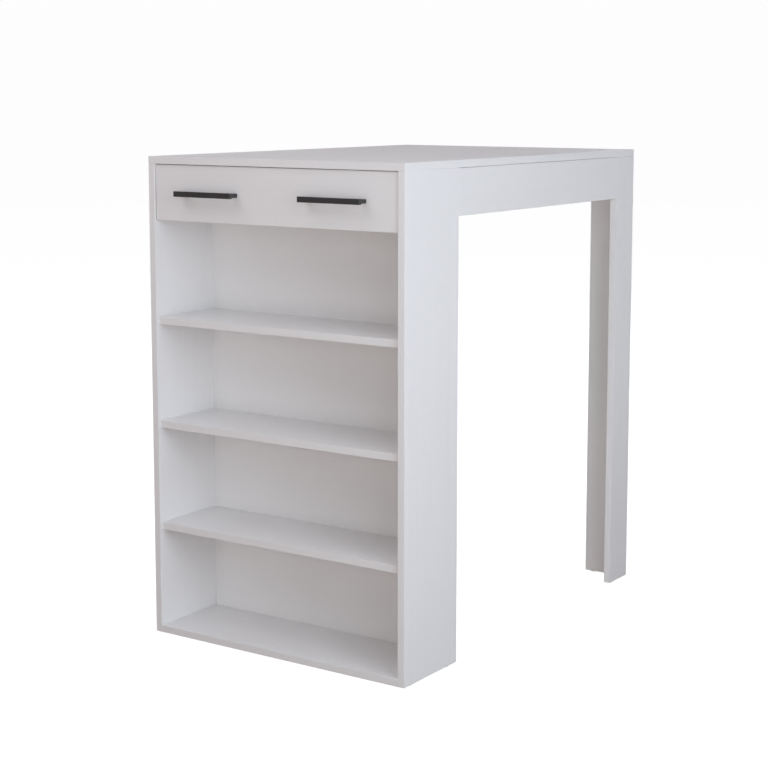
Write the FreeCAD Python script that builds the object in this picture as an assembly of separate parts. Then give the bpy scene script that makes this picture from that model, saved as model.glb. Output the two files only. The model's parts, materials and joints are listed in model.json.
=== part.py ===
import FreeCAD, Part
import os

os.makedirs("parts", exist_ok=True)
V = FreeCAD.Vector

# ---------------------------------------------------------------- driving dimensions (mm)
HEIGHT = 1000.0            # floor to the upper face of the table top
WIDTH = 628.0              # across the drawer front
LENGTH = 942.0             # cabinet front to the far end of the legs
BOARD = 15.0               # faced particle board
EDGE_R = 0.7               # rounded edge of the edging strip
GLIDE_H = 2.0              # floor glide head
SIDE_DEPTH = 188.0         # depth of the open cabinet
BOTTOM_LIFT = 0.0          # cabinet bottom above the lower edge of the sides
SHELF_SETBACK = 7.0        # shelf front edges behind the side edges
SHELF_Z = (222.5, 438.5, 655.5)     # undersides of the three shelves
BACK_T = 3.0               # thin back panel
BACK_Y = 179.0             # front face of the back panel, from the cabinet front
BACK_GROOVE = 4.0          # groove depth in the sides

APRON_H = 92.5
APRON_GAP = 0.5            # shadow gap between apron and table top
LEG_W = 85.0               # width of each leg strip

FRONT_SETBACK = 4.0        # drawer front behind the cabinet's front edges
FRONT_Z0 = 870.5           # lower edge of the drawer front
FRONT_TOP_GAP = 1.2        # drawer front to table top
FRONT_SIDE_GAP = 1.5       # drawer front to each side
BOX_T = 12.0               # drawer side and back thickness
BOX_H = 85.0               # drawer side height
BOX_L = 150.0              # drawer side length
BOX_BACK_H = 70.0
PANEL_T = 3.0              # drawer bottom
SLIDE_GAP = 12.5           # room for one slide, cabinet side to drawer side

HANDLE_HOLES = 128.0       # handle hole spacing
HANDLE_X = 155.2           # handle centre from the middle
HANDLE_Z = 926.9
HANDLE_REACH = 27.5        # handle front face from the drawer face
BAR_L = 145.0              # the bar runs a little past its posts
BAR_H = 10.8
BAR_T = 8.0
POST_W = 11.0
POST_H = 7.8

RAIL_L = 150.0
RAIL_T = 1.2
RAIL_H = 24.0
ROLLER_R = 9.0
ROLLER_W = 5.0
RIVET_R = 2.5
DRAWER_TRAVEL = 105.0

CAM_R = 7.5                # cam housing for 15 mm board
CAM_DEPTH = 12.5
CAM_DIST = 24.0            # cam centre from the board's end
DOWEL_R = 4.0

# ---------------------------------------------------------------- derived
HALF = WIDTH / 2.0
INNER = HALF - BOARD                              # inner face of the sides
Z_BOARD = GLIDE_H                                 # lower edge of sides and legs
Z_TOP = HEIGHT - BOARD                            # underside of the table top
APRON_Z1 = Z_TOP - APRON_GAP
APRON_Z0 = APRON_Z1 - APRON_H
FRONT_Z1 = Z_TOP - FRONT_TOP_GAP
HANDLE_OUT = HANDLE_REACH - FRONT_SETBACK         # handle in front of the cabinet
Y0 = -(LENGTH + HANDLE_OUT) / 2.0 + HANDLE_OUT    # cabinet front plane, origin mid-footprint
BOX_Y0 = FRONT_SETBACK + BOARD                    # rear face of the drawer front
BOX_Y1 = BOX_Y0 + BOX_L
BOX_X = INNER - SLIDE_GAP                         # outer face of the drawer sides
RAIL_Y0 = BOX_Y0 + 1.0
RAIL_Z = 893.0                                    # middle of the slide profile
BOX_Z0 = RAIL_Z - 11.0                            # lower edge of the drawer sides
BOX_Z1 = BOX_Z0 + BOX_H
PANEL_Z0 = BOX_Z0 + 9.0                           # underside of the drawer bottom

X = V(1, 0, 0)
Y = V(0, 1, 0)
Z = V(0, 0, 1)

boards = {}
cuts = {}
groups = {}


# ---------------------------------------------------------------- helpers (y counted from the cabinet front)
def bx(x0, x1, y0, y1, z0, z1):
    return Part.makeBox(x1 - x0, y1 - y0, z1 - z0, V(x0, y0 + Y0, z0))


def cyl(p, d, r, h):
    return Part.makeCylinder(r, h, V(p.x, p.y + Y0, p.z), d)


def fuse(*shapes):
    out = shapes[0].fuse(list(shapes[1:])) if len(shapes) > 1 else shapes[0]
    return out.removeSplitter()


def board(name, x0, x1, y0, y1, z0, z1, r=EDGE_R):
    b = bx(x0, x1, y0, y1, z0, z1)
    if r:
        b = b.makeFillet(r, b.Edges)
    boards[name] = b
    cuts[name] = []
    return b


def add(group, shape):
    groups.setdefault(group, []).append(shape)


def cross_recess(p, d, half, depth, width=0.9):
    """Cross-shaped driver recess sunk along -d from a face at p."""
    tools = []
    base = Part.makeBox(2 * half, width, depth, V(-half, -width / 2, -depth))
    base2 = Part.makeBox(width, 2 * half, depth, V(-width / 2, -half, -depth))
    rot = FreeCAD.Rotation(Z, d)
    for b in (base, base2):
        b.Placement = FreeCAD.Placement(V(p.x, p.y + Y0, p.z), rot)
        tools.append(b)
    return tools


def dowel(p, d, a, da, b, db, r=DOWEL_R, group="wood_dowels"):
    """Dowel across the joint at p: da deep in board a (against d), db deep in board b."""
    c = cyl(p - d * da, d, r, da + db)
    c = c.makeChamfer(0.7, [e for e in c.Edges if e.Curve.TypeId == "Part::GeomCircle"])
    add(group, c)
    cuts[a].append(cyl(p - d * (da + 0.6), d, r + 0.06, da + 0.6 + 0.4))
    cuts[b].append(cyl(p - d * 0.4, d, r + 0.06, db + 0.6 + 0.4))


def cam(p, d, n, a, b, half_t=BOARD / 2.0, cam_r=CAM_R, depth=CAM_DEPTH, dist=CAM_DIST,
        discs="cam_discs", bolts="cam_bolts", screw_in=11.0):
    """Cam housed in board a (opening on the face with normal n) that pulls board b's bolt at p."""
    c = p - d * dist
    face = c + n * half_t
    cuts[a].append(cyl(face + n * 0.5, n * -1, cam_r, depth + 0.5 + 0.2))
    cuts[a].append(cyl(c, d, 4.0, dist + 1.0))
    cuts[b].append(cyl(p - d * 1.0, d, 3.06, screw_in + 0.6 + 1.0))
    disc = cyl(face - n * 0.3, n * -1, cam_r - 0.1, depth - 0.4)
    disc = disc.cut([cyl(c - d * 4.4, d, 4.1, cam_r + 8.0)]
                    + cross_recess(face - n * 0.3, n, cam_r * 0.62, 1.6, 1.7))
    add(discs, disc)
    bolt = fuse(cyl(p + d * 0.1, d, 3.0, screw_in),
                cyl(c + d * 1.5, d, 2.4, dist - 1.4 + 0.2),
                cyl(c - d * 3.6, d, 3.5, 5.4))
    add(bolts, bolt)


def screw(group, p, d, length, r, head_r, head_h, recess=True):
    """Pan-head screw: head on the near side of p, shank along d."""
    head = cyl(p - d * head_h, d, head_r, head_h)
    top = [e for e in head.Edges if e.Curve.TypeId == "Part::GeomCircle"
           and (e.CenterOfMass - V(p.x, p.y + Y0, p.z) + d * head_h).Length < 0.05]
    head = head.makeFillet(min(head_h * 0.55, 0.9), top)
    s = fuse(head, cyl(p - d * 0.2, d, r, length + 0.2))
    if recess:
        s = s.cut(cross_recess(p - d * head_h, d * -1, head_r * 0.55, head_h * 0.55, head_r * 0.24))
    add(group, s)


# ---------------------------------------------------------------- boards of the fixed frame
board("table_top", -HALF, HALF, 0, LENGTH, Z_TOP, HEIGHT)
for side, s in (("left", -1), ("right", 1)):
    xa, xb = sorted((s * INNER, s * HALF))
    board("cabinet_side_" + side, xa, xb, 0, SIDE_DEPTH, Z_BOARD, Z_TOP)
    ga, gb = sorted((s * (INNER - 1.0), s * (INNER + BACK_GROOVE)))
    cuts["cabinet_side_" + side].append(
        bx(ga, gb, BACK_Y - 0.1, BACK_Y + BACK_T + 0.1, Z_BOARD - 1, Z_TOP + 1))
    board("apron_" + side, xa, xb, SIDE_DEPTH, LENGTH - LEG_W, APRON_Z0, APRON_Z1)
    board("leg_%s_side" % side, xa, xb, LENGTH - LEG_W, LENGTH, Z_BOARD, Z_TOP)
    ea, eb = sorted((s * (INNER - LEG_W), s * INNER))
    board("leg_%s_end" % side, ea, eb, LENGTH - BOARD, LENGTH, Z_BOARD, Z_TOP)
board("apron_end", -(INNER - LEG_W), INNER - LEG_W, LENGTH - BOARD, LENGTH, APRON_Z0, APRON_Z1)

BOTTOM_Z0 = Z_BOARD + BOTTOM_LIFT
board("cabinet_bottom", -INNER, INNER, 0, BACK_Y - 0.1, BOTTOM_Z0, BOTTOM_Z0 + BOARD)
LEVELS = [("cabinet_bottom", BOTTOM_Z0)]
for name, z in zip(("shelf_lower", "shelf_middle", "shelf_upper"), SHELF_Z):
    board(name, -INNER, INNER, SHELF_SETBACK, BACK_Y - 0.1, z, z + BOARD)
    LEVELS.append((name, z))
board("cabinet_back", -(INNER + BACK_GROOVE - 0.4), INNER + BACK_GROOVE - 0.4,
      BACK_Y, BACK_Y + BACK_T, BOTTOM_Z0, Z_TOP - 0.3, r=0)

# ---------------------------------------------------------------- cams and dowels of the fixed frame
for side, s in (("left", -1), ("right", 1)):
    cs = "cabinet_side_" + side
    mid = s * (INNER + BOARD / 2.0)
    for name, z in LEVELS:
        zc = z + BOARD / 2.0
        for yy in (48.0, 140.0):
            cam(V(s * INNER, yy, zc), X * s, Z * -1, name, cs)
        dowel(V(s * INNER, 94.0, zc), X * s, name, 20.0, cs, 10.0)
    # table top on the cabinet side
    for yy in (62.0, 128.0):
        cam(V(mid, yy, Z_TOP), Z, X * -s, cs, "table_top")
    for yy in (28.0, 160.0):
        dowel(V(mid, yy, Z_TOP), Z, cs, 20.0, "table_top", 10.0)
    # table top on the leg strips
    ls, le = "leg_%s_side" % side, "leg_%s_end" % side
    cam(V(mid, LENGTH - 48.0, Z_TOP), Z, X * -s, ls, "table_top")
    dowel(V(mid, LENGTH - 65.0, Z_TOP), Z, ls, 20.0, "table_top", 10.0)
    cam(V(s * (INNER - 30.0), LENGTH - BOARD / 2.0, Z_TOP), Z, Y * -1, le, "table_top")
    dowel(V(s * (INNER - 60.0), LENGTH - BOARD / 2.0, Z_TOP), Z, le, 20.0, "table_top", 10.0)
    # the two strips of a leg, glued with dowels
    for zz in (110.0, 360.0, 610.0, 860.0):
        dowel(V(s * INNER, LENGTH - BOARD / 2.0, zz), X * s, le, 20.0, ls, 10.0)
    # long apron between the cabinet side and the leg
    ap = "apron_" + side
    zm = (APRON_Z0 + APRON_Z1) / 2.0
    cam(V(mid, SIDE_DEPTH, zm), Y * -1, X * -s, ap, cs)
    cam(V(mid, LENGTH - LEG_W, zm), Y, X * -s, ap, ls)
    for dz in (-28.0, 28.0):
        dowel(V(mid, SIDE_DEPTH, zm + dz), Y * -1, ap, 18.0, cs, 12.0, r=3.0)
        dowel(V(mid, LENGTH - LEG_W, zm + dz), Y, ap, 18.0, ls, 12.0, r=3.0)
    # end apron to the end strip
    pe = V(s * (INNER - LEG_W), LENGTH - BOARD / 2.0, zm)
    cam(pe, X * s, Y * -1, "apron_end", le)
    for dz in (-28.0, 28.0):
        dowel(pe + Z * dz, X * s, "apron_end", 18.0, le, 12.0, r=3.0)

# ---------------------------------------------------------------- angle brackets under the table top
BR_W, BR_L, BR_T = 18.0, 25.0, 1.6


def bracket(p, n, a):
    """Angle bracket in the corner at p between board a's inner face (normal n) and the table top."""
    along = n.cross(Z)
    org = V(p.x, p.y + Y0, p.z)

    def plate(u0, u1, v0, v1):
        pts = []
        for u, v in ((u0, v0), (u1, v0), (u1, v1), (u0, v1)):
            pts.append(org + n * u + Z * (-v) + along * (-BR_W / 2))
        face = Part.Face(Part.makePolygon(pts + [pts[0]]))
        return face.extrude(along * BR_W)

    body = fuse(plate(0, BR_T, 0, BR_L), plate(0, BR_L, 0, BR_T))
    inner = [e for e in body.Edges if abs(e.Length - BR_W) < 0.01
             and (e.CenterOfMass - (org + n * BR_T - Z * BR_T)).Length < 0.05]
    outer = [e for e in body.Edges if abs(e.Length - BR_W) < 0.01
             and (e.CenterOfMass - org).Length < 0.05]
    body = body.makeFillet(1.2, inner)
    outer = [e for e in body.Edges if abs(e.Length - BR_W) < 0.01
             and (e.CenterOfMass - org).Length < 0.05]
    body = body.makeFillet(1.4, outer)
    pa = p + n * BR_T - Z * 15.5
    pb = p + n * 15.5 - Z * BR_T
    body = body.cut([cyl(pa + n, n * -1, 2.1, BR_T + 2), cyl(pb - Z, Z, 2.1, BR_T + 2)])
    add("corner_brackets", body)
    screw("bracket_screws", pa, n * -1, 12.5, 1.75, 3.6, 1.9)
    screw("bracket_screws", pb, Z, 12.5, 1.75, 3.6, 1.9)
    cuts[a].append(cyl(pa, n * -1, 1.82, 13.2))
    cuts["table_top"].append(cyl(pb, Z, 1.82, 13.2))


for side, s in (("left", -1), ("right", 1)):
    for yy in (330.0, 524.0, 718.0):
        bracket(V(s * INNER, yy, Z_TOP), X * -s, "apron_" + side)
for xx in (-110.0, 110.0):
    bracket(V(xx, LENGTH - BOARD, Z_TOP), Y * -1, "apron_end")

# ---------------------------------------------------------------- floor glides, nailed into the lower edges
for s in (-1, 1):
    mid = s * (INNER + BOARD / 2.0)
    spots = [("cabinet_side_", mid, 26.0), ("cabinet_side_", mid, 158.0),
             ("leg_%s_side", mid, LENGTH - LEG_W + 18.0),
             ("leg_%s_end", s * (INNER - LEG_W + 18.0), LENGTH - BOARD / 2.0)]
    for name, gx, gy in spots:
        side = "left" if s < 0 else "right"
        name = name % side if "%" in name else name + side
        head = cyl(V(gx, gy, 0), Z, 6.0, GLIDE_H)
        low = [e for e in head.Edges if abs(e.CenterOfMass.z) < 0.01
               and e.Curve.TypeId == "Part::GeomCircle"]
        head = head.makeFillet(0.8, low)
        add("floor_glides", fuse(head, cyl(V(gx, gy, GLIDE_H - 0.5), Z, 1.0, 15.5)))
        cuts[name].append(cyl(V(gx, gy, Z_BOARD - 1), Z, 1.06, 17.0))

# ---------------------------------------------------------------- nails through the back panel
for name, z in LEVELS:
    for xx in (-270.0, -135.0, 0.0, 135.0, 270.0):
        p = V(xx, BACK_Y + BACK_T, z + BOARD / 2.0)
        add("back_nails", fuse(cyl(p + Y * 0.7, Y * -1, 1.8, 0.7), cyl(p + Y * 0.3, Y * -1, 0.75, 20.3)))
        cuts["cabinet_back"].append(cyl(p + Y, Y * -1, 0.8, BACK_T + 2))
        cuts[name].append(cyl(p - Y * (BACK_T - 1), Y * -1, 0.8, 19.5))

# ---------------------------------------------------------------- drawer box
FX = INNER - FRONT_SIDE_GAP
board("drawer_front", -FX, FX, FRONT_SETBACK, BOX_Y0, FRONT_Z0, FRONT_Z1)
for side, s in (("left", -1), ("right", 1)):
    xa, xb = sorted((s * (BOX_X - BOX_T), s * BOX_X))
    board("drawer_side_" + side, xa, xb, BOX_Y0, BOX_Y1, BOX_Z0, BOX_Z1, r=0.5)
    ga, gb = sorted((s * (BOX_X - BOX_T - 1), s * (BOX_X - BOX_T + 6.0)))
    cuts["drawer_side_" + side].append(
        bx(ga, gb, BOX_Y0 - 1, BOX_Y1 + 1, PANEL_Z0 - 0.1, PANEL_Z0 + PANEL_T + 0.1))
BIN = BOX_X - BOX_T                                 # inner face of the drawer sides
board("drawer_back", -BIN, BIN, BOX_Y1 - BOX_T, BOX_Y1,
      PANEL_Z0 + PANEL_T + 0.1, PANEL_Z0 + PANEL_T + 0.1 + BOX_BACK_H, r=0.5)
board("drawer_bottom", -(BIN + 5.6), BIN + 5.6, BOX_Y0 - 5.5, BOX_Y1 - 0.5,
      PANEL_Z0, PANEL_Z0 + PANEL_T, r=0)
cuts["drawer_front"].append(bx(-(BIN + 6.2), BIN + 6.2, BOX_Y0 - 6.0, BOX_Y0 + 1,
                               PANEL_Z0 - 0.1, PANEL_Z0 + PANEL_T + 0.1))
for side, s in (("left", -1), ("right", 1)):
    ds = "drawer_side_" + side
    mid = s * (BOX_X - BOX_T / 2.0)
    zc = (BOX_Z0 + BOX_Z1) / 2.0 + 6.0
    cam(V(mid, BOX_Y0, zc), Y * -1, X * -s, ds, "drawer_front", half_t=BOX_T / 2.0, cam_r=6.0,
        depth=10.8, dist=24.0, discs="drawer_cam_discs", bolts="drawer_cam_bolts", screw_in=10.0)
    for dz in (-22.0, 22.0):
        dowel(V(mid, BOX_Y0, zc + dz), Y * -1, ds, 16.0, "drawer_front", 9.0, r=3.0,
              group="drawer_dowels")
    for zz in (PANEL_Z0 + 20.0, PANEL_Z0 + 56.0):
        p = V(s * BOX_X, BOX_Y1 - BOX_T / 2.0, zz)
        d = X * -s
        cone = Part.makeCone(3.4, 1.6, 2.6, V(p.x, p.y + Y0, p.z), d)
        sc = fuse(cone, cyl(p + d * 1.0, d, 1.6, 36.0))
        sc = sc.cut(cross_recess(p, d * -1, 1.9, 1.3, 0.8))
        add("drawer_back_screws", sc)
        cuts[ds].append(Part.makeCone(3.46, 1.66, 2.66, V(p.x, p.y + Y0, p.z), d))
        cuts[ds].append(cyl(p - d * 0.5, d, 1.66, BOX_T + 1.0))
        cuts["drawer_back"].append(cyl(p + d * (BOX_T - 1.0), d, 1.66, 27.0))

# ---------------------------------------------------------------- bridge handles and their screws
for side, s in (("left", -1), ("right", 1)):
    cx = s * HANDLE_X
    yb = FRONT_SETBACK - HANDLE_REACH               # front face of the bar
    bar = bx(cx - BAR_L / 2, cx + BAR_L / 2, yb, yb + BAR_T, HANDLE_Z - BAR_H / 2, HANDLE_Z + BAR_H / 2)
    bar = bar.makeFillet(0.7, bar.Edges)
    posts = []
    for k in (-1, 1):
        px = cx + k * HANDLE_HOLES / 2
        post = bx(px - POST_W / 2, px + POST_W / 2, yb + BAR_T - 2.0, FRONT_SETBACK,
                  HANDLE_Z - POST_H / 2, HANDLE_Z + POST_H / 2)
        post = post.makeFillet(0.6, [e for e in post.Edges if abs(e.Length - (HANDLE_REACH - BAR_T + 2.0)) < 0.01])
        posts.append(post)
        p = V(px, BOX_Y0, HANDLE_Z)
        screw("handle_screws", p, Y * -1, 24.0, 1.95, 4.0, 2.4)
        cuts["drawer_front"].append(cyl(p + Y, Y * -1, 2.5, BOARD + 2))
    h = fuse(bar, *posts)
    h = h.cut([cyl(V(cx + k * HANDLE_HOLES / 2, FRONT_SETBACK + 1, HANDLE_Z), Y * -1, 2.02, 12.0)
               for k in (-1, 1)])
    boards["handle_" + side] = h
    cuts["handle_" + side] = []

# ---------------------------------------------------------------- roller slides
FR_Y = RAIL_Y0 + 11.0                               # axis of the front roller
RR_Y = RAIL_Y0 + RAIL_L - 11.0                      # axis of the rear roller
FR_Z = RAIL_Z - 0.9
RR_Z = RAIL_Z - RAIL_H / 2 + RAIL_T + ROLLER_R + 0.3
BORE_R = RIVET_R + 0.07


def roller(u0, yy, zz, s):
    """Nylon wheel with a crowned tread and dished hub, bore on the rivet."""
    r0, r1, w = BORE_R, ROLLER_R, ROLLER_W
    prof = [(r0, 0), (4.6, 0), (5.2, 0.7), (7.2, 0.7), (7.7, 0), (r1 - 0.5, 0), (r1, 0.6),
            (r1, w - 0.6), (r1 - 0.5, w), (7.7, w), (7.2, w - 0.7), (5.2, w - 0.7), (4.6, w), (r0, w)]
    pts = [V(s * (INNER - u0 - a), yy + Y0, zz + r) for r, a in prof]
    face = Part.Face(Part.makePolygon(pts + [pts[0]]))
    return face.revolve(V(s * (INNER - u0), yy + Y0, zz), X, 360.0)


for side, s in (("left", -1), ("right", 1)):
    def at(u, yy, zz):
        return V(s * (INNER - u), yy, zz)

    def slab(u0, u1, y0, y1, z0, z1):
        xa, xb = sorted((s * (INNER - u0), s * (INNER - u1)))
        return bx(xa, xb, y0, y1, z0, z1)

    inward = X * -s                                 # from the cabinet side to the drawer
    outward = X * s
    ya, yb = RAIL_Y0, RAIL_Y0 + RAIL_L
    zl, zh = RAIL_Z - RAIL_H / 2, RAIL_Z + RAIL_H / 2
    # profile on the cabinet side
    rail = fuse(slab(0, RAIL_T, ya, yb, zl, zh),
                slab(0, 9.5, ya, yb, zl, zl + RAIL_T),
                slab(0, 9.5, ya, yb, zh - RAIL_T, zh))
    long_edges = [e for e in rail.Edges if abs(e.Length - RAIL_L) < 0.01
                  and abs(abs(e.CenterOfMass.x) - INNER) < 0.01]
    rail = rail.makeFillet(1.0, long_edges)
    holes = [cyl(at(-1, FR_Y, FR_Z), inward, RIVET_R + 0.06, RAIL_T + 2)]
    for yy in (RAIL_Y0 + 42.0, RAIL_Y0 + 118.0):
        p = at(RAIL_T, yy, RAIL_Z)
        holes.append(cyl(p + inward, outward, 1.9, RAIL_T + 2))
        screw("rail_screws", p, outward, 13.0, 1.75, 3.6, 0.9, recess=False)
        cuts["cabinet_side_" + side].append(cyl(p, outward, 1.82, 13.6))
    boards["slide_rail_" + side] = rail.cut(holes)
    cuts["slide_rail_" + side] = []
    add("front_roller_rivets", fuse(
        cyl(at(0.1, FR_Y, FR_Z), inward, RIVET_R, 9.2),
        cyl(at(RAIL_T, FR_Y, FR_Z), inward, 3.6, 3.6 - RAIL_T),
        cyl(at(9.0, FR_Y, FR_Z), inward, 4.0, 0.7)))
    boards["front_roller_" + side] = roller(3.8, FR_Y, FR_Z, s)
    cuts["front_roller_" + side] = []

    # profile on the drawer side
    w0, w1 = SLIDE_GAP - RAIL_T, SLIDE_GAP
    zt = RAIL_Z + 9.6
    drail = fuse(slab(w0, w1, ya, yb - 2, BOX_Z0 - RAIL_T, zt),
                 slab(3.5, w1, ya, yb - 2, zt - RAIL_T, zt),
                 slab(w0, SLIDE_GAP + 10.0, ya, yb - 2, BOX_Z0 - RAIL_T, BOX_Z0))
    holes = [cyl(at(w1 + 1, RR_Y, RR_Z), outward, RIVET_R + 0.06, RAIL_T + 2)]
    for yy in (RAIL_Y0 + 40.0, RAIL_Y0 + 100.0):
        p = at(w0, yy, RAIL_Z + 4.4)
        holes.append(cyl(p - inward, inward, 1.9, RAIL_T + 2))
        screw("drawer_rail_screws", p, inward, 10.0, 1.75, 3.4, 0.9, recess=False)
        cuts["drawer_side_" + side].append(cyl(p, inward, 1.82, 10.6))
    boards["drawer_rail_" + side] = drail.cut(holes)
    cuts["drawer_rail_" + side] = []
    add("rear_roller_rivets", fuse(
        cyl(at(w1 - 0.1, RR_Y, RR_Z), outward, RIVET_R, w1 - 0.1 - 2.8),
        cyl(at(w0, RR_Y, RR_Z), outward, 3.6, w0 - 9.0),
        cyl(at(3.5, RR_Y, RR_Z), outward, 4.0, 0.8)))
    boards["rear_roller_" + side] = roller(3.7, RR_Y, RR_Z, s)
    cuts["rear_roller_" + side] = []

# ---------------------------------------------------------------- write one file per piece
for name, shape in boards.items():
    tools = cuts[name]
    out = shape.cut(tools) if tools else shape
    if len(out.Solids) != 1 or not out.isValid():
        print("CHECK", name, "solids", len(out.Solids), "valid", out.isValid())
    out = out.Solids[0]
    out.exportStep("parts/%s.step" % name)
for name, shapes in groups.items():
    solids = []
    for shp in shapes:
        if len(shp.Solids) != 1 or not shp.isValid():
            print("CHECK", name, "solids", len(shp.Solids), "valid", shp.isValid())
        solids.append(shp.Solids[0])
    Part.makeCompound(solids).exportStep("parts/%s.step" % name)
print("nodes", len(boards) + len(groups))
print("origin: cabinet front plane at y = %.2f, far end at %.2f" % (Y0, Y0 + LENGTH))
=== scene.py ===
import json
import math
import bpy
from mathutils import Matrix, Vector

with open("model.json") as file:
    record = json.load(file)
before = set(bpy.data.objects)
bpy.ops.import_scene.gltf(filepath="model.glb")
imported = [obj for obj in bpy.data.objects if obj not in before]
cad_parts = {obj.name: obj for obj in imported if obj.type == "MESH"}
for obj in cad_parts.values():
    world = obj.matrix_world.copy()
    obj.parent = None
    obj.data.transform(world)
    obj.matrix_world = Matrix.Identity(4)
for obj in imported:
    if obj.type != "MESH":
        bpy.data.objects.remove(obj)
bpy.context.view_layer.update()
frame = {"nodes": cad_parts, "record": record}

NODES = frame["nodes"]
scene = bpy.context.scene
scene.view_settings.view_transform = "Standard"
scene.view_settings.look = "None"
scene.view_settings.exposure = 0.0
scene.view_settings.gamma = 1.0


# ------------------------------------------------------------------ node helpers
class Tree:
    """Small helper around one material's node tree."""

    def __init__(self, name):
        self.mat = bpy.data.materials.new(name)
        self.mat.use_nodes = True
        self.nt = self.mat.node_tree
        self.nt.nodes.clear()
        self.out = self.nt.nodes.new("ShaderNodeOutputMaterial")
        self.bsdf = self.nt.nodes.new("ShaderNodeBsdfPrincipled")
        self.nt.links.new(self.bsdf.outputs[0], self.out.inputs["Surface"])
        self.coord = self.nt.nodes.new("ShaderNodeTexCoord")

    def new(self, kind, **props):
        n = self.nt.nodes.new(kind)
        for k, v in props.items():
            setattr(n, k, v)
        return n

    def link(self, a, b):
        self.nt.links.new(a, b)

    def mapped(self, scale, loc=(0, 0, 0)):
        m = self.new("ShaderNodeMapping")
        m.inputs["Scale"].default_value = scale
        m.inputs["Location"].default_value = loc
        self.link(self.coord.outputs["Object"], m.inputs["Vector"])
        return m.outputs["Vector"]

    def noise(self, vec, scale, detail=3.0, rough=0.5, distortion=0.0):
        n = self.new("ShaderNodeTexNoise")
        n.inputs["Scale"].default_value = scale
        n.inputs["Detail"].default_value = detail
        n.inputs["Roughness"].default_value = rough
        n.inputs["Distortion"].default_value = distortion
        self.link(vec, n.inputs["Vector"])
        return n.outputs["Fac"]

    def remap(self, fac, lo, hi, a=0.3, b=0.7):
        m = self.new("ShaderNodeMapRange")
        m.inputs["From Min"].default_value = a
        m.inputs["From Max"].default_value = b
        m.inputs["To Min"].default_value = lo
        m.inputs["To Max"].default_value = hi
        self.link(fac, m.inputs["Value"])
        return m.outputs["Result"]

    def math(self, op, a, b):
        n = self.new("ShaderNodeMath", operation=op)
        for i, v in enumerate((a, b)):
            if isinstance(v, (int, float)):
                n.inputs[i].default_value = v
            else:
                self.link(v, n.inputs[i])
        return n.outputs[0]

    def tint(self, fac, dark, light):
        n = self.new("ShaderNodeMix", data_type="RGBA")
        n.inputs[6].default_value = (*dark, 1)
        n.inputs[7].default_value = (*light, 1)
        self.link(fac, n.inputs[0])
        return n.outputs[2]

    def bump(self, height, strength, distance, normal=None):
        b = self.new("ShaderNodeBump")
        b.inputs["Strength"].default_value = strength
        b.inputs["Distance"].default_value = distance
        self.link(height, b.inputs["Height"])
        if normal is not None:
            self.link(normal, b.inputs["Normal"])
        return b.outputs["Normal"]

    def set(self, **kw):
        for k, v in kw.items():
            self.bsdf.inputs[k.replace("_", " ")].default_value = v


AX = {"X": 0, "Y": 1, "Z": 2}


def white_board(name, grain, thick, lo, hi):
    """White melamine facing: faint grain pressed along one axis, plain 1 mm edging strip on the narrow faces."""
    t = Tree("board_" + name)
    stretch = [110.0, 110.0, 110.0]
    stretch[AX[grain]] = 2.6
    fine = [420.0, 420.0, 420.0]
    fine[AX[grain]] = 9.0
    streak = t.noise(t.mapped(stretch, (0.31, 0.17, 0.53)), 1.0, 4.0, 0.62, 0.35)
    pores = t.noise(t.mapped(fine, (0.11, 0.71, 0.23)), 1.0, 3.0, 0.6)
    cloud = t.noise(t.mapped((1, 1, 1)), 3.2, 2.0, 0.5)
    peel = t.noise(t.mapped((1, 1, 1)), 1150.0, 2.0, 0.5)
    # the wide faces carry the pressed grain; the narrow faces carry plain edging
    sep = t.new("ShaderNodeSeparateXYZ")
    t.link(t.coord.outputs["Normal"], sep.inputs[0])
    face = t.math("ABSOLUTE", sep.outputs[AX[thick]], 0.0)
    face = t.remap(face, 0.0, 1.0, 0.55, 0.75)
    # fine joint line between facing and edging, one strip thickness in from each edge of the wide faces
    pos = t.new("ShaderNodeSeparateXYZ")
    t.link(t.coord.outputs["Object"], pos.inputs[0])
    near = None
    for ax in "XYZ":
        if ax != thick:
            i = AX[ax]
            for d in (t.math("SUBTRACT", pos.outputs[i], lo[i]), t.math("SUBTRACT", hi[i], pos.outputs[i])):
                near = d if near is None else t.math("MINIMUM", near, d)
    off = t.math("ABSOLUTE", t.math("SUBTRACT", near, 0.0011), 0.0)
    line = t.math("MULTIPLY", t.remap(off, 1.0, 0.0, 0.00006, 0.00022), face)
    facing = t.math("MULTIPLY", face, t.remap(near, 0.0, 1.0, 0.0010, 0.0012))
    shade = t.math("ADD", t.math("MULTIPLY", t.remap(streak, -1.0, 1.0), 0.50),
                   t.math("ADD", t.math("MULTIPLY", t.remap(pores, -1.0, 1.0), 0.16),
                          t.math("MULTIPLY", t.remap(cloud, -1.0, 1.0), 0.34)))
    shade = t.math("MULTIPLY", shade, t.remap(facing, 0.35, 1.0, 0.0, 1.0))
    shade = t.math("SUBTRACT", shade, t.math("MULTIPLY", line, 2.2))
    fac = t.remap(shade, 0.0, 1.0, -0.8, 0.8)
    t.link(t.tint(fac, (0.876, 0.874, 0.872), (0.901, 0.900, 0.899)), t.bsdf.inputs["Base Color"])
    rough = t.math("ADD", t.remap(streak, 0.40, 0.50), t.remap(cloud, -0.03, 0.03))
    rough = t.math("SUBTRACT", rough, t.remap(facing, 0.08, 0.0, 0.0, 1.0))
    t.link(rough, t.bsdf.inputs["Roughness"])
    height = t.math("ADD", t.math("MULTIPLY", t.math("ADD", streak, t.math("MULTIPLY", pores, 0.7)), facing),
                    t.math("SUBTRACT", t.math("MULTIPLY", peel, 0.35), t.math("MULTIPLY", line, 1.5)))
    t.link(t.bump(height, 0.12, 0.00010), t.bsdf.inputs["Normal"])
    t.set(Specular_IOR_Level=0.42)
    return t.mat


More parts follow.
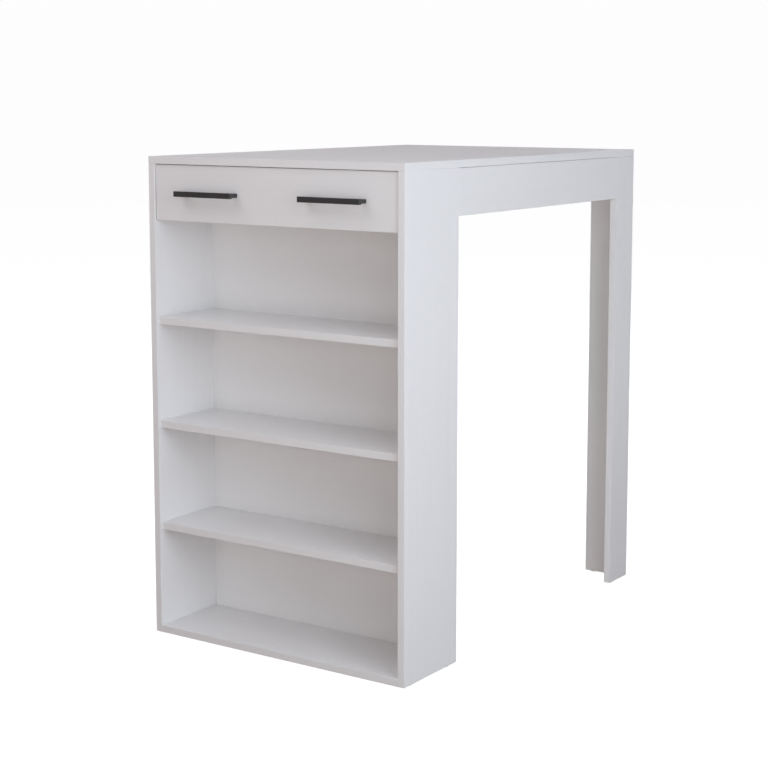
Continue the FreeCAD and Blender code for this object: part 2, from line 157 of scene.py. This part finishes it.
def thin_panel():
    """White lacquered fibreboard: smooth with a faint roller texture."""
    t = Tree("white_panel")
    cloud = t.noise(t.mapped((1, 1, 1)), 4.5, 3.0, 0.55)
    roll = t.noise(t.mapped((260.0, 40.0, 90.0)), 1.0, 3.0, 0.6)
    fac = t.math("ADD", t.math("MULTIPLY", cloud, 0.6), t.math("MULTIPLY", roll, 0.4))
    t.link(t.tint(t.remap(fac, 0.0, 1.0), (0.896, 0.893, 0.889), (0.922, 0.920, 0.917)), t.bsdf.inputs["Base Color"])
    t.link(t.remap(roll, 0.50, 0.62), t.bsdf.inputs["Roughness"])
    t.link(t.bump(roll, 0.25, 0.00008), t.bsdf.inputs["Normal"])
    t.set(Specular_IOR_Level=0.42)
    return t.mat


def powder_black():
    """Matte black powder coat on the handles."""
    t = Tree("black_handle")
    grit = t.noise(t.mapped((1, 1, 1)), 2600.0, 2.0, 0.6)
    cloud = t.noise(t.mapped((1, 1, 1)), 38.0, 3.0, 0.5)
    t.link(t.tint(t.remap(t.math("ADD", t.math("MULTIPLY", grit, 0.5), t.math("MULTIPLY", cloud, 0.5)), 0.0, 1.0),
                  (0.0130, 0.0124, 0.0124), (0.0232, 0.0222, 0.0222)), t.bsdf.inputs["Base Color"])
    t.link(t.math("ADD", t.remap(grit, 0.40, 0.52), t.remap(cloud, -0.03, 0.03)), t.bsdf.inputs["Roughness"])
    t.link(t.bump(grit, 0.45, 0.00010), t.bsdf.inputs["Normal"])
    t.set(Specular_IOR_Level=0.8)
    return t.mat


def epoxy_white():
    """White epoxy coat on pressed steel rails."""
    t = Tree("white_rail")
    peel = t.noise(t.mapped((1, 1, 1)), 620.0, 2.0, 0.5)
    cloud = t.noise(t.mapped((1, 1, 1)), 26.0, 2.0, 0.5)
    rub = t.noise(t.mapped((240.0, 6.0, 240.0)), 1.0, 3.0, 0.6)
    fac = t.math("ADD", t.math("MULTIPLY", cloud, 0.55), t.math("MULTIPLY", rub, 0.45))
    t.link(t.tint(t.remap(fac, 0.0, 1.0), (0.70, 0.70, 0.685), (0.80, 0.80, 0.79)), t.bsdf.inputs["Base Color"])
    t.link(t.remap(rub, 0.24, 0.38), t.bsdf.inputs["Roughness"])
    t.link(t.bump(peel, 0.3, 0.00010), t.bsdf.inputs["Normal"])
    t.set(Specular_IOR_Level=0.5)
    return t.mat


def moulded(name, dark, light, rough):
    """Moulded plastic with a fine spark texture."""
    t = Tree(name)
    spark = t.noise(t.mapped((1, 1, 1)), 1500.0, 2.0, 0.6)
    cloud = t.noise(t.mapped((1, 1, 1)), 90.0, 3.0, 0.5)
    t.link(t.tint(t.remap(cloud, 0.0, 1.0), dark, light), t.bsdf.inputs["Base Color"])
    t.link(t.remap(spark, rough - 0.05, rough + 0.06), t.bsdf.inputs["Roughness"])
    t.link(t.bump(spark, 0.3, 0.00008), t.bsdf.inputs["Normal"])
    return t.mat


def metal(name, dark, light, r0, r1, grit_scale):
    """Plated or cast metal with brushed streaks and dull spots."""
    t = Tree(name)
    streak = t.noise(t.mapped((900.0, 900.0, 160.0)), 1.0, 3.0, 0.6)
    spots = t.noise(t.mapped((1, 1, 1)), grit_scale, 3.0, 0.6)
    fac = t.math("ADD", t.math("MULTIPLY", streak, 0.4), t.math("MULTIPLY", spots, 0.6))
    t.link(t.tint(t.remap(fac, 0.0, 1.0), dark, light), t.bsdf.inputs["Base Color"])
    t.link(t.remap(fac, r0, r1), t.bsdf.inputs["Roughness"])
    t.link(t.bump(spots, 0.25, 0.00006), t.bsdf.inputs["Normal"])
    t.set(Metallic=1.0)
    return t.mat


def beech():
    """Plain beech with short flecks."""
    t = Tree("beech")
    fleck = t.noise(t.mapped((420.0, 420.0, 60.0)), 1.0, 4.0, 0.65, 0.5)
    ring = t.noise(t.mapped((120.0, 120.0, 14.0)), 1.0, 3.0, 0.5, 0.8)
    fac = t.math("ADD", t.math("MULTIPLY", fleck, 0.5), t.math("MULTIPLY", ring, 0.5))
    t.link(t.tint(t.remap(fac, 0.0, 1.0), (0.45, 0.27, 0.14), (0.66, 0.46, 0.28)), t.bsdf.inputs["Base Color"])
    t.link(t.remap(fleck, 0.5, 0.68), t.bsdf.inputs["Roughness"])
    t.link(t.bump(fleck, 0.4, 0.0002), t.bsdf.inputs["Normal"])
    return t.mat


# ------------------------------------------------------------------ finishes on the CAD nodes
BOARDS = {  # node: (grain axis, thickness axis)
    "table_top": ("Y", "Z"),
    "cabinet_side_left": ("Z", "X"), "cabinet_side_right": ("Z", "X"),
    "cabinet_bottom": ("X", "Z"), "shelf_lower": ("X", "Z"), "shelf_middle": ("X", "Z"), "shelf_upper": ("X", "Z"),
    "apron_left": ("Y", "X"), "apron_right": ("Y", "X"), "apron_end": ("X", "Y"),
    "leg_left_side": ("Z", "X"), "leg_right_side": ("Z", "X"),
    "leg_left_end": ("Z", "Y"), "leg_right_end": ("Z", "Y"),
    "drawer_front": ("X", "Y"), "drawer_back": ("X", "Y"),
    "drawer_side_left": ("Y", "X"), "drawer_side_right": ("Y", "X"),
}
slot_of = {s["node"]: s["material_slot"] for s in frame["record"]["subparts"]}
made = {}


def finish(node):
    if node in BOARDS:
        pts = [v.co for v in NODES[node].data.vertices]
        lo_b = [min(c[i] for c in pts) for i in range(3)]
        hi_b = [max(c[i] for c in pts) for i in range(3)]
        return white_board(node, *BOARDS[node], lo_b, hi_b)
    slot = slot_of[node]
    if slot not in made:
        made[slot] = {
            "white_panel": thin_panel,
            "black_handle": powder_black,
            "white_rail": epoxy_white,
            "nylon": lambda: moulded("nylon", (0.70, 0.69, 0.65), (0.78, 0.77, 0.74), 0.42),
            "glide_plastic": lambda: moulded("glide_plastic", (0.66, 0.66, 0.65), (0.76, 0.76, 0.75), 0.48),
            "zinc_steel": lambda: metal("zinc_steel", (0.47, 0.48, 0.50), (0.66, 0.67, 0.69), 0.26, 0.42, 700.0),
            "zinc_cam": lambda: metal("zinc_cam", (0.36, 0.37, 0.38), (0.55, 0.56, 0.57), 0.42, 0.60, 480.0),
            "beech": beech,
        }[slot]()
    return made[slot]


for name, obj in NODES.items():
    mat = finish(name)
    if obj.material_slots:
        for s in obj.material_slots:
            s.link = "OBJECT"
            s.material = mat
    else:
        obj.data.materials.append(mat)

# ------------------------------------------------------------------ floor, light and camera
def floor_material():
    t = Tree("studio_floor")
    cloud = t.noise(t.mapped((1, 1, 1)), 0.8, 2.0, 0.5)
    t.link(t.tint(t.remap(cloud, 0.0, 1.0), (0.35, 0.35, 0.352), (0.37, 0.37, 0.372)), t.bsdf.inputs["Base Color"])
    t.set(Roughness=0.85, Specular_IOR_Level=0.1)
    t.bsdf.inputs["Emission Color"].default_value = (1.0, 1.0, 1.0, 1.0)
    # glows like a lit sweep (painted light on the floor); the glow is painted a little weaker close to the part,
    # painted shade around its base, so that a faint contact shadow can show
    far = t.new("ShaderNodeVectorMath", operation="LENGTH")
    t.link(t.coord.outputs["Object"], far.inputs[0])
    t.link(t.remap(far.outputs["Value"], 0.93, 0.985, 0.8, 2.6), t.bsdf.inputs["Emission Strength"])
    return t.mat


def build_floor():
    """Flat studio floor: a disc that lies under the part."""
    verts, faces = [], []
    rings, segs, radius = 6, 64, 14.0
    verts.append((0.0, 0.0, 0.0))
    for i in range(1, rings + 1):
        r = radius * (i / rings) ** 1.6
        for k in range(segs):
            a = 2 * math.pi * k / segs
            verts.append((r * math.cos(a), r * math.sin(a), 0.0))
    for k in range(segs):
        faces.append((0, 1 + k, 1 + (k + 1) % segs))
    for i in range(rings - 1):
        for k in range(segs):
            a, b = 1 + i * segs + k, 1 + i * segs + (k + 1) % segs
            faces.append((a, a + segs, b + segs, b))
    me = bpy.data.meshes.new("studio_floor")
    me.from_pydata(verts, [], faces)
    me.update()
    o = bpy.data.objects.new("studio_floor", me)
    scene.collection.objects.link(o)
    me.materials.append(floor_material())
    o.visible_diffuse = False
    o.visible_glossy = False
    o.visible_shadow = False
    return o


build_floor()

world = bpy.data.worlds.new("studio")
scene.world = world
world.use_nodes = True
wn = world.node_tree
wn.nodes.clear()
w_out = wn.nodes.new("ShaderNodeOutputWorld")
w_mix = wn.nodes.new("ShaderNodeMixShader")
w_path = wn.nodes.new("ShaderNodeLightPath")
w_fill = wn.nodes.new("ShaderNodeBackground")
w_seen = wn.nodes.new("ShaderNodeBackground")
w_coord = wn.nodes.new("ShaderNodeTexCoord")
w_sep = wn.nodes.new("ShaderNodeSeparateXYZ")
w_half = wn.nodes.new("ShaderNodeMapRange")
w_tint = wn.nodes.new("ShaderNodeMix")
w_tint.data_type = "RGBA"
# dim room: warm light thrown back by the pale floor, almost none from above
w_half.inputs["From Min"].default_value, w_half.inputs["From Max"].default_value = -0.06, 0.06
w_tint.inputs[6].default_value = (0.290, 0.244, 0.228, 1)
w_tint.inputs[7].default_value = (0.004, 0.004, 0.004, 1)
wn.links.new(w_coord.outputs["Generated"], w_sep.inputs[0])
wn.links.new(w_sep.outputs["Z"], w_half.inputs["Value"])
wn.links.new(w_half.outputs["Result"], w_tint.inputs[0])
wn.links.new(w_tint.outputs[2], w_fill.inputs["Color"])
w_fill.inputs["Strength"].default_value = 1.0
w_seen.inputs["Color"].default_value = (0.99, 0.985, 0.995, 1)
w_seen.inputs["Strength"].default_value = 1.0
wn.links.new(w_path.outputs["Is Camera Ray"], w_mix.inputs[0])
wn.links.new(w_fill.outputs[0], w_mix.inputs[1])
wn.links.new(w_seen.outputs[0], w_mix.inputs[2])
wn.links.new(w_mix.outputs[0], w_out.inputs["Surface"])


def softbox(name, azimuth, elevation, distance, centre, size, energy, color):
    """Square soft light aimed at a point; azimuth 0 is in front of the drawer, 90 on the right."""
    az, el = math.radians(azimuth), math.radians(elevation)
    d = bpy.data.lights.new(name, "AREA")
    d.shape = "SQUARE"
    d.size = size
    d.energy = energy
    d.color = color
    o = bpy.data.objects.new(name, d)
    scene.collection.objects.link(o)
    way = Vector((math.sin(az) * math.cos(el), -math.cos(az) * math.cos(el), math.sin(el)))
    o.location = Vector(centre) + way * distance
    o.rotation_euler = (-way).to_track_quat("-Z", "Y").to_euler()
    o.visible_camera = False
    return o


MID, NEAR = (0.0, 0.0, 0.5), (0.0, -0.2, 0.6)
softbox("front", 0, 5, 5.0, MID, 2.6, 25.0, (1.0, 0.925, 0.909))
softbox("front_right", 30, 5, 5.0, MID, 2.6, 13.7, (0.999, 0.980, 1.0))
softbox("front_left", -30, 5, 5.0, MID, 2.6, 2.6, (1.0, 0.971, 0.956))
softbox("right_near", 45, 8, 2.2, NEAR, 1.4, 2.5, (0.949, 0.966, 1.0))
softbox("right_mid", 60, 8, 2.2, NEAR, 1.4, 3.4, (0.909, 0.953, 1.0))
softbox("right_flank", 75, 8, 2.2, NEAR, 1.4, 17.2, (0.862, 0.923, 1.0))
softbox("right_high", 60, 25, 5.0, MID, 3.0, 46.7, (0.786, 0.868, 1.0))
softbox("front_left_high", -30, 50, 5.0, MID, 4.0, 34.0, (1.0, 0.966, 0.996))
softbox("front_high_near", -30, 60, 2.2, NEAR, 2.4, 13.6, (0.981, 0.949, 1.0))
softbox("left_side", -90, 5, 5.0, MID, 3.6, 65.5, (0.878, 0.954, 1.0))
softbox("back_left_high", -150, 50, 5.0, MID, 4.0, 72.5, (1.0, 0.925, 0.945))
softbox("back_low", 180, 5, 5.0, MID, 3.6, 125.0, (0.888, 0.960, 1.0))

cam_data = bpy.data.cameras.new("camera")
cam = bpy.data.objects.new("camera", cam_data)
scene.collection.objects.link(cam)
cam.location = (2.0538, -3.0666, 1.1269)
cam.rotation_euler = (math.radians(90.0 - 7.395), 0.0, math.radians(34.410))
cam_data.sensor_width = 36.0
cam_data.lens = 80.047
cam_data.shift_y = -0.09
cam_data.clip_start, cam_data.clip_end = 0.05, 100.0
cam_data.dof.use_dof = False
scene.camera = cam
